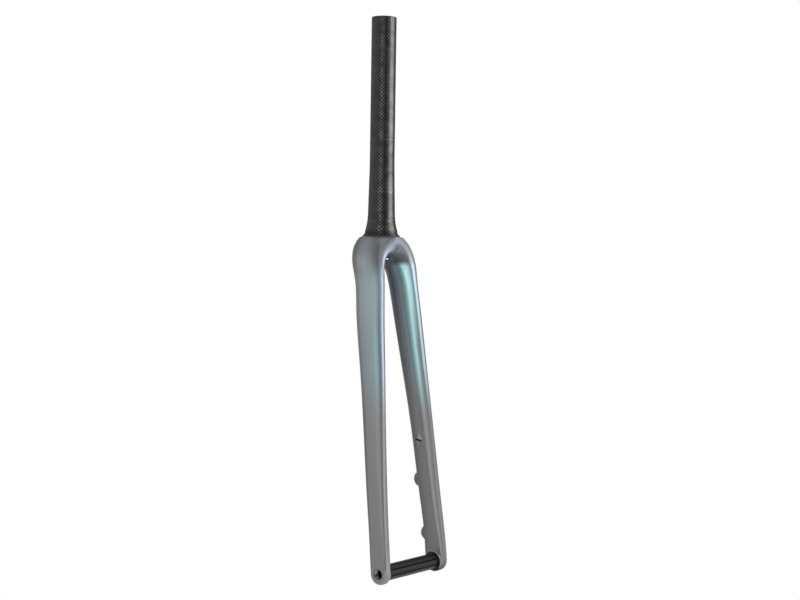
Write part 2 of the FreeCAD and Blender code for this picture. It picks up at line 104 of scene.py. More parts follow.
def lathe(name, profile, centre=(0, 0, 0), way=(0, 0, 1), turns=96, closed=True):
    # profile is (radius, height) pairs; closed joins the last to the first
    prof = np.asarray(profile, float)
    frame3 = basis(way)
    angle = np.linspace(0, 2 * math.pi, turns, endpoint=False)
    rows = []
    for r, h in prof:
        ring = np.stack([r * np.cos(angle), r * np.sin(angle), np.full(turns, h)], -1)
        rows.append(ring @ frame3.T + np.asarray(centre, float))
    verts = np.concatenate(rows)
    faces = []
    count = len(prof)
    for i in range(count if closed else count - 1):
        j = (i + 1) % count
        for k in range(turns):
            m = (k + 1) % turns
            faces.append((i * turns + k, i * turns + m, j * turns + m, j * turns + k))
    return new_mesh(name, verts, faces, merge=1e-4)


def cutter(name, profile, centre, way, turns=96):
    item = lathe(name, profile, centre, way, turns)
    item.hide_render = True
    return item


def box_cutter(name, low, high):
    x0, y0, z0 = low
    x1, y1, z1 = high
    verts = [(x, y, z) for x in (x0, x1) for y in (y0, y1) for z in (z0, z1)]
    faces = [(0, 1, 3, 2), (4, 6, 7, 5), (0, 4, 5, 1), (2, 3, 7, 6), (0, 2, 6, 4), (1, 5, 7, 3)]
    item = new_mesh(name, verts, faces, smooth=False)
    return item


def cut(item, tools, how="DIFFERENCE"):
    # exact booleans, one after another, then the tools are gone
    for tool in tools:
        step = item.modifiers.new("cut", "BOOLEAN")
        step.operation = how
        step.solver = "EXACT"
        step.object = tool
        graph = bpy.context.evaluated_depsgraph_get()
        mesh = bpy.data.meshes.new_from_object(item.evaluated_get(graph))
        item.modifiers.clear()
        old = item.data
        item.data = mesh
        mesh.name = old.name
        bpy.data.meshes.remove(old)
        bpy.data.objects.remove(tool)


def crisp(item, degrees=38):
    item.data.shade_smooth()
    item.data.set_sharp_from_angle(angle=math.radians(degrees))


# ---- legs and crown as one skin ----

# forward, outward, down, half depth, half width, tilt, squareness
PLAIN = [(53.7, 55.5, 418.4, 13.3, 5.6, 0, 5.0),
         (50.9, 55.2, 385, 13.3, 7.0, 0, 3.4),
         (45.6, 53.3, 340, 13.9, 8.0, 0, 2.8),
         (34.75, 47.9, 250, 16.1, 9.5, 0, 2.15),
         (23.3, 41.3, 160, 18.7, 10.9, 0, 2.1),
         (14.1, 35.95, 90, 20.8, 12.3, 0, 2.08),
         (8.85, 32.4, 50, 22.0, 14.0, 0, 2.05)]
BRAKE = [(54.7, 55.5, 416.4, 15.0, 5.6, 0, 5.0),
         (51.6, 55.2, 385, 14.5, 7.5, 0, 3.4),
         (45.6, 53.3, 340, 14.7, 8.8, 0, 2.8),
         (34.75, 47.9, 250, 16.55, 9.95, 0, 2.15),
         (23.3, 41.3, 160, 19.0, 11.35, 0, 2.1),
         (14.2, 35.95, 90, 21.0, 12.75, 0, 2.08),
         (8.85, 32.4, 50, 22.4, 14.4, 0, 2.05)]
ARCH = [(5.7, 31.05, 35.5, 23.5, 16.0, 20, 2.05),
        (2.2, 24.25, 20.75, 25.2, 18.0, 45, 2.1),
        (0.4, 12.5, 11.25, 26.6, 18.6, 68, 2.15)]
MIDDLE = (0.0, 0.0, 7.5, 27.0, 19.5, 90, 2.2)

rows = []
for x, y, drop, a, b, tilt, n in BRAKE + ARCH + [MIDDLE]:
    rows.append((x, y, -drop, a, b, math.radians(tilt), n))
for x, y, drop, a, b, tilt, n in (PLAIN + ARCH)[::-1]:
    rows.append((x, -y, -drop, a, b, math.pi - math.radians(tilt), n))
rows = np.array(rows)
chord = np.concatenate([[0], np.cumsum(np.linalg.norm(np.diff(rows[:, :3], axis=0), axis=1))])


def spaced():
    # stations along the path, closer where the surface carries detail
    marks = [0.0]
    whole = chord[-1]
    while marks[-1] < whole:
        at = marks[-1]
        z = np.interp(at, chord, rows[:, 2])
        brake = at < whole / 2
        step = 3.0
        if z < -388:
            step = 1.1
        elif brake and -396 < z < -294:
            step = 1.0
        elif brake and -280 < z < -244:
            step = 0.7
        elif z > -70:
            step = 1.6
        marks.append(at + step)
    marks[-1] = whole
    if marks[-1] - marks[-2] < 0.4:
        del marks[-2]
    return np.array(marks)


marks = spaced()
path = spline(chord, rows, marks)
AROUND = 120
v = np.linspace(0, 2 * math.pi, AROUND, endpoint=False)


def ring(row):
    x, y, z, a, b, tilt, n = row
    c = np.sign(np.cos(v)) * np.abs(np.cos(v)) ** (2 / n) * a
    s = np.sign(np.sin(v)) * np.abs(np.sin(v)) ** (2 / n) * b
    return np.stack([x + c, y + s * math.cos(tilt), z + s * math.sin(tilt)], -1)


rings = [ring(r) for r in path]


def end_cap(first, row):
    # the leg's last level section, swung round its own centre to close the end
    out = []
    for turn in np.linspace(0, math.pi / 2, 22)[1:]:
        x = first[:, 0] - row[0]
        swung = first.copy()
        swung[:, 0] = row[0] + x * math.cos(turn)
        swung[:, 2] = row[2] - np.abs(x) * math.sin(turn)
        out.append(swung)
    return out


rings = end_cap(rings[0], path[0])[::-1] + rings + end_cap(rings[-1], path[-1])
skin = np.stack(rings)


def soft_top(a, b, blend):
    # the larger of two heights with a rounded inner corner
    t = np.clip(0.5 + 0.5 * (a - b) / blend, 0, 1)
    return b * (1 - t) + a * t + blend * t * (1 - t)


# flat top of the crown with a rounded rim
z = skin[..., 2]
skin[..., 2] = -soft_top(-z, np.zeros_like(z), 1.8)

# ledge round each hub seat
for side, rad in ((1, 13.4), (-1, 11.7)):
    y = skin[..., 1] * side
    reach = np.hypot(skin[..., 0] - AXLE[0], skin[..., 2] - AXLE[2])
    inner = (y < HUB + END / 2) & (skin[..., 2] < -380)
    face = HUB - LEDGE + np.clip(reach - rad + 1.2, 0, 99) ** 1.5 * 0.9
    raised = -soft_top(-y, -face, 0.5)
    skin[..., 1] = np.where(inner, raised * side, skin[..., 1])

# brake lugs: rounded pads that stand up to one plane
LEAN = math.radians(9.6)
OUT = np.array([-math.cos(LEAN), 0.0, -math.sin(LEAN)])
DOWN = np.array([math.sin(LEAN), 0.0, -math.cos(LEAN)])
LUG_MID = np.array([26.5, 53.5, -350.4])
lug_tips = [LUG_MID + DOWN * step for step in (-35.0, 35.0)]
for tip, shift in zip(lug_tips, (-1.0, 1.0)):
    # each pad sits on the middle of its leg, a little off the bolt's own axis
    rel = skin - tip
    u = rel @ DOWN
    w = rel @ OUT
    side = rel[..., 1] - shift
    r2 = (u / 11.0) ** 2 + (side / 7.2) ** 2
    pad = -9.0 * r2 ** 2.0
    near = (np.abs(u) < 16) & (skin[..., 1] > 0) & (w > -14)
    raised = soft_top(w, pad, 1.6)
    lift = np.where(near & (r2 < 3), raised - w, 0.0)
    skin += lift[..., None] * OUT

# hood and scoop of the hose port
DUCT_START = np.array([37.292, 37.026, -275.426])
rake, lean = math.radians(-7.3), math.radians(-15.5)
UP_DUCT = np.array([math.cos(lean) * math.sin(rake), -math.sin(lean),
                    math.cos(lean) * math.cos(rake)])
MOUTH = 15.1
along = (skin - DUCT_START) @ UP_DUCT
axis_at = DUCT_START + along[..., None] * UP_DUCT
off = skin - axis_at
wide = np.abs(off[..., 0])
inner_side = (skin[..., 1] > 0) & (skin[..., 1] < rows[3, 1]) & (skin[..., 2] < -238) & (skin[..., 2] > -290)
hood = axis_at[..., 1] - np.sqrt(np.clip(5.0 ** 2 - wide ** 2, 0, None))
blend_in = (wide < 6.5) & inner_side & (along > MOUTH - 0.3 * off[..., 0])
lifted = -soft_top(-skin[..., 1], -(hood + np.clip(wide - 4.0, 0, 9) ** 2 * 0.9), 1.0)
skin[..., 1] = np.where(blend_in, lifted, skin[..., 1])

count, across = skin.shape[:2]
faces = []
for i in range(count - 1):
    for k in range(across):
        m = (k + 1) % across
        faces.append((i * across + k, i * across + m, (i + 1) * across + m, (i + 1) * across + k))
body = new_mesh("painted_body", skin.reshape(-1, 3), faces, merge=0.02)


def round_cut(name, centre, way, rad, depth, flare=0.35, over=3.0):
    # hole whose edge is broken; centre is on the surface, way points out of the hole
    return cutter(name, [(0, -depth), (rad, -depth), (rad, -flare), (rad + flare, 0),
                         (rad + flare, over), (0, over)], centre, way)


tools = []
for side, seat, label in ((1, 12.2, "brake"), (-1, 10.3, "plain")):
    centre = (AXLE[0], (HUB - LEDGE) * side, AXLE[2])
    tools.append(round_cut(label + "_seat", centre, (0, -side, 0), seat, LEDGE, 0.5, 12))
    y0, y1 = sorted(((HUB - 8) * side, HUB * side))
    tools.append(box_cutter(label + "_way", (AXLE[0] - 10.3, y0, AXLE[2] - 20),
                            (AXLE[0] + 10.3, y1, AXLE[2])))
tools.append(cutter("brake_bore", [(0, -14), (8.5, -14), (8.5, 2), (0, 2)],
                    (AXLE[0], HUB + END, AXLE[2]), (0, 1, 0)))
tools.append(cutter("plain_bore", [(0, -14), (8.5, -14), (8.5, -SKIN), (0, -SKIN)],
                    (AXLE[0], -HUB - END, AXLE[2]), (0, -1, 0)))
tools.append(round_cut("plain_mouth", (AXLE[0], -HUB - END, AXLE[2]), (0, -1, 0), 6.3, 6, 0.5))
for i, tip in enumerate(lug_tips):
    tools.append(cutter("lug_bore%d" % i, [(0, -12), (3.6, -12), (3.6, 3), (0, 3)], tip, OUT, 48))
tools.append(cutter("duct", [(0, 14.6), (3.4, 14.6), (3.4, 36), (0, 36)],
                    DUCT_START, UP_DUCT, 48))
# a slit under the hood's lip, wider than the duct behind it, and the flat scoop below
MOUTH_AT = DUCT_START + UP_DUCT * MOUTH
LEG_UP = np.array([-0.1217, -0.055, 1.0])
LEG_UP /= np.linalg.norm(LEG_UP)
AWAY = np.array([0.0, -1.0, 0.0]) - LEG_UP * (-LEG_UP[1])
AWAY /= np.linalg.norm(AWAY)
LEVEL = np.cross(LEG_UP, AWAY)
SLANT = math.radians(17)
ACROSS = LEVEL * math.cos(SLANT) - LEG_UP * math.sin(SLANT)
RISE = LEG_UP * math.cos(SLANT) + LEVEL * math.sin(SLANT)


def port_box(name, across, floor, top, up):
    # floor is the depth at the box's lower end and at its upper end
    verts = [MOUTH_AT + ACROSS * i + AWAY * j[end] + RISE * up[end]
             for i in across for j in (floor, (top, top)) for end in (0, 1)]
    sides = [(2, 3, 1, 0), (5, 7, 6, 4), (1, 5, 4, 0), (6, 7, 3, 2), (4, 6, 2, 0), (3, 7, 5, 1)]
    return new_mesh(name, verts, sides, smooth=False)


tools.append(port_box("slit", (-5.2, 5.0), (-4.0, -4.0), 9.0, (-2.3, 0.0)))
tools.append(port_box("pocket", (-4.9, 4.7), (-3.9, -3.9), 1.0, (-2.2, 3.0)))
tools.append(port_box("scoop", (-4.6, 4.6), (2.4, 0.9), 9.0, (-12.0, -2.2)))
tools.append(port_box("crease", (4.2, 5.2), (1.6, 0.0), 9.0, (-9.5, -2.2)))
tools.append(cutter("crown_well", [(0, -21.5), (14.6, -21.5), (14.6, 6), (0, 6)],
                    (0, 0, 0), (0, 0, 1)))
tools.append(cutter("floor_bore", [(0, -27.6), (6.0, -27.6), (6.0, -19), (0, -19)],
                    (3, 0, 0), (0, 0, 1)))
tools.append(cutter("floor_face", [(0, -44), (9.2, -44), (9.2, -27.2), (0, -27.2)],
                    (3, 0, 0), (0, 0, 1)))
cut(body, tools)
mesh = bmesh.new()
mesh.from_mesh(body.data)
bmesh.ops.remove_doubles(mesh, verts=mesh.verts, dist=0.00005)
bmesh.ops.dissolve_degenerate(mesh, edges=mesh.edges, dist=0.00005)
mesh.to_mesh(body.data)
mesh.free()
crisp(body, 34)

# ---- steerer ----

top = 280.0
outside = [(24.2, -1.2), (24.2, 0.9), (24.0, 1.15), (23.3, 1.9), (21.6, 3.8), (21.0, 4.5)]
for h in np.linspace(4.5, 30, 14)[1:]:
    bow = 90.0
    drop = h - 32.0
    outside.append((17.28 + bow - math.sqrt(bow * bow - drop * drop) + 0.0, h))
for h in np.linspace(30, 92, 8)[1:]:
    outside.append((17.3 + (15.9 - 17.3) * (h - 30) / 62.0, h))
for h in np.linspace(92, top - 0.5, 24)[1:]:
    outside.append((15.9, h))
outside += [(15.4, top)]
inside = [(13.5, top), (13.2, top - 0.3), (13.2, 92), (14.6, 30), (14.6, -1.2)]
steerer = lathe("steerer", outside + inside, turns=160)
crisp(steerer, 30)

# ---- metal inserts ----


def threaded(outer, bore, length, pitch, depth, lead=0.7):
    # wall of a tapped sleeve from its face at 0 down to -length, with thread rings
    prof = [(outer - 0.2, 0), (bore + lead, 0), (bore + 0.05, -lead)]
    h = -lead
    while h - pitch > -length + lead:
        prof += [(bore + depth, h - pitch * 0.5), (bore, h - pitch)]
        h -= pitch
    prof += [(bore + lead, -length), (outer - 0.2, -length), (outer, -length + 0.2), (outer, -0.2)]
    return prof


plain_insert = lathe("plain_axle_sleeve", threaded(8.5, 6.0, END - SKIN, 1.5, 0.5),
                     (AXLE[0], -HUB, AXLE[2]), (0, 1, 0), 96)
brake_insert = lathe("brake_axle_sleeve",
                     [(8.3, 0), (6.5, 0), (6.1, -0.4), (6.1, -END + 0.8), (6.9, -END),
                      (8.3, -END), (8.5, -END + 0.2), (8.5, -0.2)],
                     (AXLE[0], HUB, AXLE[2]), (0, -1, 0), 96)
lug_inserts = []
for i, tip in enumerate(lug_tips):
    name = ("upper_lug_sleeve", "lower_lug_sleeve")[i]
    lug_inserts.append(lathe(name, threaded(3.6, 2.1, 12.0, 0.8, 0.35, 0.4), tip, OUT, 48))
crown_insert = lathe("crown_sleeve",
                     [(8.7, 0), (2.6, 0), (2.15, -0.5), (2.1, -10), (5.8, -10), (6.0, -9.8),
                      (6.0, -2.0), (9.0, -2.0), (9.0, -0.3)],
                     (3, 0, -29.2), (0, 0, -1), 72)
for item in [plain_insert, brake_insert, crown_insert] + lug_inserts:
    crisp(item, 30)

# ---- spacer ----


def spacer_ring(rad, flute):
    # outline of the tube, with eight flutes when flute is set
    angle = np.linspace(0, 2 * math.pi, 256, endpoint=False)
    r = np.full(angle.shape, rad)
    if flute:
        for i in range(8):
            at = math.radians(29 + 45 * i)
            turn = (angle - at + math.pi) % (2 * math.pi) - math.pi
            reach = 10.4
            inner = 1.3 ** 2 - (reach * np.sin(turn)) ** 2
            hit = reach * np.cos(turn) - np.sqrt(np.clip(inner, 0, None))
            r = np.where((inner > 0) & (np.abs(turn) < 0.5), np.minimum(r, hit), r)
    return angle, r


def spacer_mesh():
    stops = [(-50, 9.7, 0), (-49.7, 10, 0), (-46.02, 10, 0), (-46.0, 10, 1), (46.0, 10, 1),
             (46.02, 10, 0), (49.7, 10, 0), (50, 9.7, 0)]
    verts = []
    for y, rad, flute in stops:
        angle, r = spacer_ring(rad, flute)
        verts.append(np.stack([AXLE[0] + r * np.cos(angle), np.full(angle.shape, float(y)),
                               AXLE[2] + r * np.sin(angle)], -1))
    for y in (50, -50):
        angle = np.linspace(0, 2 * math.pi, 256, endpoint=False)
        verts.append(np.stack([AXLE[0] + 6.3 * np.cos(angle), np.full(angle.shape, float(y)),
                               AXLE[2] + 6.3 * np.sin(angle)], -1))
    rings = len(verts)
    quads = []
    for i in range(rings):
        j = (i + 1) % rings
        for k in range(256):
            m = (k + 1) % 256
            quads.append((i * 256 + k, i * 256 + m, j * 256 + m, j * 256 + k))
    return new_mesh("spacer_tube", np.concatenate(verts), quads, merge=1e-5)


spacer = spacer_mesh()
crisp(spacer, 26)

# ---- materials ----


def nodes_of(name):
    made = bpy.data.materials.new(name)
    made.use_nodes = True
    tree = made.node_tree
    return made, tree, tree.nodes["Principled BSDF"]


def add(tree, kind, **values):
    node = tree.nodes.new(kind)
    for key, item in values.items():
        setattr(node, key, item)
    return node


def maths(tree, operation, a, b=None, c=None, clamp=False):
    node = add(tree, "ShaderNodeMath", operation=operation, use_clamp=clamp)
    for socket, item in zip(node.inputs, (a, b, c)):
        if item is None:
            continue
        if isinstance(item, (int, float)):
            socket.default_value = item
        else:
            tree.links.new(item, socket)
    return node.outputs[0]


def ramp(tree, source, stops, mode="EASE"):
    node = add(tree, "ShaderNodeValToRGB")
    node.color_ramp.interpolation = mode
    marks = node.color_ramp.elements
    while len(marks) < len(stops):
        marks.new(0.5)
    for mark, (place, colour) in zip(marks, stops):
        mark.position = place
        mark.color = (*colour, 1.0)
    tree.links.new(source, node.inputs[0])
    return node.outputs[0]


def blend(tree, factor, a, b):
    node = add(tree, "ShaderNodeMix", data_type="RGBA")
    for socket, item in ((node.inputs[0], factor), (node.inputs[6], a), (node.inputs[7], b)):
        if isinstance(item, tuple):
            socket.default_value = (*item, 1.0)
        elif isinstance(item, (int, float)):
            socket.default_value = item
        else:
            tree.links.new(item, socket)
    return node.outputs[2]


def place(tree):
    spot = add(tree, "ShaderNodeTexCoord").outputs["Object"]
    split = add(tree, "ShaderNodeSeparateXYZ")
    tree.links.new(spot, split.inputs[0])
    return spot, split.outputs[0], split.outputs[1], split.outputs[2]


def around(tree, output):
    # compass angle of a direction's level part as 0 to 1, with 0.5 along +X
    split = add(tree, "ShaderNodeSeparateXYZ")
    tree.links.new(output, split.inputs[0])
    angle = maths(tree, "ARCTAN2", split.outputs[1], split.outputs[0])
    return maths(tree, "MULTIPLY_ADD", angle, 0.5 / math.pi, 0.5), split.outputs[2]


def by_angle(*pairs):
    # ramp stops given as degrees from +X round towards +Y
    return [((angle + 180) / 360.0, colour) for angle, colour in pairs]


def tint(tree, facing, *pairs):
    return ramp(tree, facing, by_angle(*pairs))


def shaded(tree, colour, factor):
    shade = add(tree, "ShaderNodeVectorMath", operation="SCALE")
    tree.links.new(colour, shade.inputs[0])
    tree.links.new(factor, shade.inputs["Scale"])
    return shade.outputs[0]


def paint_material():
    # flip-flop paint that fades from blue-green at the crown to plain grey at the ends; its ramps by facing
    # direction also hold painted light: painted highlight bands and painted shade at the sides
    made, tree, shader = nodes_of("flip_paint")
    spot, x, y, z = place(tree)
    normal = add(tree, "ShaderNodeTexCoord").outputs["Normal"]
    facing, tilt = around(tree, normal)
    hind = (0.16, 0.175, 0.185)
    plain_top = tint(tree, facing, (-180, hind), (-135, (0.11, 0.12, 0.13)),
                     (-109, (0.15, 0.17, 0.19)), (-96, (0.23, 0.26, 0.285)),
                     (-82, (0.245, 0.30, 0.325)), (-66, (0.213, 0.29, 0.30)),
                     (-46, (0.25, 0.32, 0.345)), (-34, (0.20, 0.26, 0.29)),
                     (-20, (0.20, 0.24, 0.29)), (-7, (0.38, 0.48, 0.58)),
                     (6, (0.37, 0.45, 0.56)), (22, (0.14, 0.16, 0.18)),
                     (42, (0.05,) * 3), (80, hind), (180, hind))
    plain_high = tint(tree, facing, (-180, hind), (-135, (0.10, 0.11, 0.12)),
                      (-114, (0.10, 0.11, 0.12)), (-100, (0.19, 0.214, 0.23)),
                      (-84, (0.206, 0.25, 0.276)), (-72, (0.20, 0.27, 0.295)),
                      (-60, (0.212, 0.33, 0.335)), (-53, (0.212, 0.32, 0.33)),
                      (-44, (0.185, 0.23, 0.26)), (-30, (0.16, 0.20, 0.245)),
                      (-21, (0.20, 0.25, 0.31)), (-9, (0.42, 0.53, 0.64)),
                      (2, (0.36, 0.45, 0.55)), (18, (0.12, 0.13, 0.145)),
                      (42, (0.045,) * 3), (80, hind), (180, hind))
    # the brake leg's ramps here and below are darker on its inner face: painted shade cast by the other leg
    brake_top = tint(tree, facing, (-180, hind), (-135, (0.03, 0.035, 0.04)),
                     (-100, (0.025, 0.032, 0.042)), (-90, (0.10, 0.13, 0.168)),
                     (-80, (0.25, 0.33, 0.36)), (-70, (0.36, 0.60, 0.63)),
                     (-57, (0.60, 0.98, 0.96)), (-46, (0.58, 0.88, 0.90)),
                     (-37, (0.34, 0.53, 0.57)), (-26, (0.15, 0.24, 0.28)),
                     (-12, (0.47, 0.60, 0.66)), (0, (0.44, 0.54, 0.60)),
                     (20, (0.13, 0.15, 0.16)), (42, (0.05,) * 3), (80, hind), (180, hind))
    brake_high = tint(tree, facing, (-180, hind), (-135, (0.025,) * 3),
                      (-114, (0.02, 0.021, 0.022)), (-101, (0.08, 0.09, 0.095)),
                      (-90, (0.14, 0.15, 0.175)), (-80, (0.20, 0.28, 0.30)),
                      (-70, (0.38, 0.60, 0.60)), (-60, (0.44, 0.75, 0.76)),
                      (-49, (0.25, 0.34, 0.38)), (-31, (0.18, 0.24, 0.28)),
                      (-14, (0.36, 0.44, 0.50)), (0, (0.34, 0.41, 0.46)),
                      (18, (0.11, 0.12, 0.13)), (42, (0.045,) * 3), (80, hind),
                      (180, hind))
    plain_low = tint(tree, facing, (-180, (0.17,) * 3), (-130, (0.06,) * 3), (-110, (0.085,) * 3),
                     (-97, (0.19,) * 3), (-77, (0.19,) * 3), (-62, (0.205,) * 3),
                     (-48, (0.20,) * 3), (-33, (0.168,) * 3), (-12, (0.24,) * 3),
                     (10, (0.20,) * 3), (45, (0.07,) * 3), (80, (0.17,) * 3),
                     (180, (0.17,) * 3))
    brake_low = tint(tree, facing, (-180, (0.15,) * 3), (-130, (0.06,) * 3), (-108, (0.08,) * 3),
                     (-97, (0.135,) * 3), (-87, (0.18,) * 3), (-78, (0.205,) * 3),
                     (-68, (0.29,) * 3), (-58, (0.31,) * 3), (-43, (0.25,) * 3),
                     (-20, (0.135,) * 3), (2, (0.20,) * 3), (45, (0.07,) * 3), (80, (0.15,) * 3),
                     (180, (0.15,) * 3))
    crown = tint(tree, facing, (-180, hind), (-130, (0.03, 0.032, 0.035)),
                 (-109, (0.075, 0.078, 0.082)), (-95, (0.145, 0.155, 0.165)),
                 (-82, (0.155, 0.17, 0.187)), (-70, (0.128, 0.141, 0.155)),
                 (-58, (0.097, 0.105, 0.111)), (-43, (0.105, 0.115, 0.125)),
                 (-25, (0.082, 0.09, 0.10)), (-14, (0.055, 0.062, 0.072)),
                 (-4, (0.10, 0.11, 0.135)), (1, (0.23, 0.255, 0.315)),
                 (4, (0.38, 0.42, 0.50)), (11, (0.57, 0.61, 0.77)),
                 (24, (0.20, 0.21, 0.24)), (50, (0.07,) * 3),
                 (80, (0.16, 0.17, 0.18)),
                 (180, hind))
    crown_far = tint(tree, facing, (-180, hind), (-130, (0.02,) * 3), (-97, (0.025,) * 3),
                     (-84, (0.06, 0.066, 0.072)), (-60, (0.11, 0.12, 0.13)),
                     (-28, (0.16, 0.18, 0.20)), (-9, (0.29, 0.32, 0.37)),
                     (4, (0.25, 0.27, 0.30)), (14, (0.25, 0.265, 0.30)),
                     (32, (0.12, 0.13, 0.14)), (80, hind), (180, hind))
    # painted highlights on the near end: a light rim round its face and a light front band
    end_low = tint(tree, facing, (-180, (0.15,) * 3), (-130, (0.06,) * 3), (-108, (0.13,) * 3),
                   (-97, (0.19,) * 3), (-70, (0.195,) * 3), (-58, (0.16,) * 3),
                   (-38, (0.13,) * 3), (-20, (0.30,) * 3), (2, (0.30,) * 3), (22, (0.18,) * 3),
                   (45, (0.07,) * 3), (80, (0.17,) * 3), (180, (0.15,) * 3))
    at_end = maths(tree, "MULTIPLY_ADD", z, -1 / 0.02, -0.385 / 0.02, clamp=True)
    plain_low = blend(tree, at_end, plain_low, end_low)
    # painted highlight: near the end, faces whose normal leans about 33 degrees off the side are blended
    # towards light grey
    side = add(tree, "ShaderNodeSeparateXYZ")
    tree.links.new(normal, side.inputs[0])
    edge = maths(tree, "ABSOLUTE", maths(tree, "ADD", maths(tree, "ABSOLUTE", side.outputs[1]),
                                         -0.84))
    edge = maths(tree, "MULTIPLY_ADD", edge, -1 / 0.14, 1.0, clamp=True)
    near_end = maths(tree, "MULTIPLY_ADD", z, -1 / 0.005, -0.410 / 0.005, clamp=True)
    plain_low = blend(tree, maths(tree, "MULTIPLY", edge, near_end), plain_low, (0.42,) * 3)
    brake_leg = maths(tree, "MULTIPLY_ADD", y, 1 / 0.02, 0.2, clamp=True)
    upper_part = maths(tree, "MULTIPLY_ADD", z, 1 / 0.08, 0.14 / 0.08, clamp=True)
    high = maths(tree, "MULTIPLY_ADD", z, 1 / 0.085, 0.24 / 0.085, clamp=True)
    eased = add(tree, "ShaderNodeMapRange", interpolation_type="SMOOTHSTEP")
    tree.links.new(high, eased.inputs["Value"])
    plain = blend(tree, eased.outputs["Result"], plain_low,
                  blend(tree, upper_part, plain_high, plain_top))
    braked = blend(tree, eased.outputs["Result"], brake_low,
                   blend(tree, upper_part, brake_high, brake_top))
    # painted shade: the brake leg is darkened where its faces turn down into the underside of the arch
    under = maths(tree, "MULTIPLY_ADD", tilt, 1.6, 1.35, clamp=True)
    braked = shaded(tree, braked, maths(tree, "MAXIMUM", under, 0.3))
    # the crown's own front is plain dark grey, with a painted sheen highlight kept to the rolled edge
    plain_crown = maths(tree, "MULTIPLY_ADD", z, 1 / 0.020, 0.054 / 0.020, clamp=True)
    brake_crown = maths(tree, "MULTIPLY_ADD", z, 1 / 0.006, 0.037 / 0.006, clamp=True)
    middle = maths(tree, "MULTIPLY_ADD", y, 1 / 0.012, 0.5, clamp=True)
    # painted shade: the crown darkens where its faces turn down
    crown_light_and_shade = maths(tree, "MAXIMUM", maths(tree, "MULTIPLY_ADD", tilt, 0.9, 1.0, clamp=True), 0.5)
    # painted light: it lightens where it stands upright, below the shoulder
    rise = maths(tree, "MULTIPLY_ADD", tilt, -1 / 0.29, 0.42 / 0.29, clamp=True)
    fall = maths(tree, "MULTIPLY_ADD", tilt, 1 / 0.30, 1.0, clamp=True)
    upright = maths(tree, "MULTIPLY", rise, fall)
    crown_light_and_shade = maths(tree, "MULTIPLY", crown_light_and_shade, maths(tree, "MULTIPLY_ADD", upright, 0.43, 1.0))
    # painted light and shade on the brake side of the crown: lighter where faces turn up, darker where they
    # turn down
    far_crown_light_and_shade = maths(tree, "MULTIPLY_ADD", tilt, 1 / 0.16, 0.625, clamp=True)
    crown_far = shaded(tree, crown_far, maths(tree, "MULTIPLY_ADD", far_crown_light_and_shade, 0.6, 0.7))
    crown = blend(tree, middle, shaded(tree, crown, crown_light_and_shade), crown_far)
    plain = blend(tree, plain_crown, plain, crown)
    braked = blend(tree, brake_crown, braked, crown)
    colour = blend(tree, brake_leg, plain, braked)
    tree.links.new(colour, shader.inputs["Base Color"])
    fleck = add(tree, "ShaderNodeTexNoise")
    fleck.inputs["Scale"].default_value = 900.0
    tree.links.new(spot, fleck.inputs["Vector"])
    rough = maths(tree, "MULTIPLY_ADD", fleck.outputs[0], 0.08, 0.27)
    tree.links.new(rough, shader.inputs["Roughness"])
    shader.inputs["Metallic"].default_value = 0.45
    shader.inputs["Coat Weight"].default_value = 0.1
    shader.inputs["Coat Roughness"].default_value = 0.25
    return made


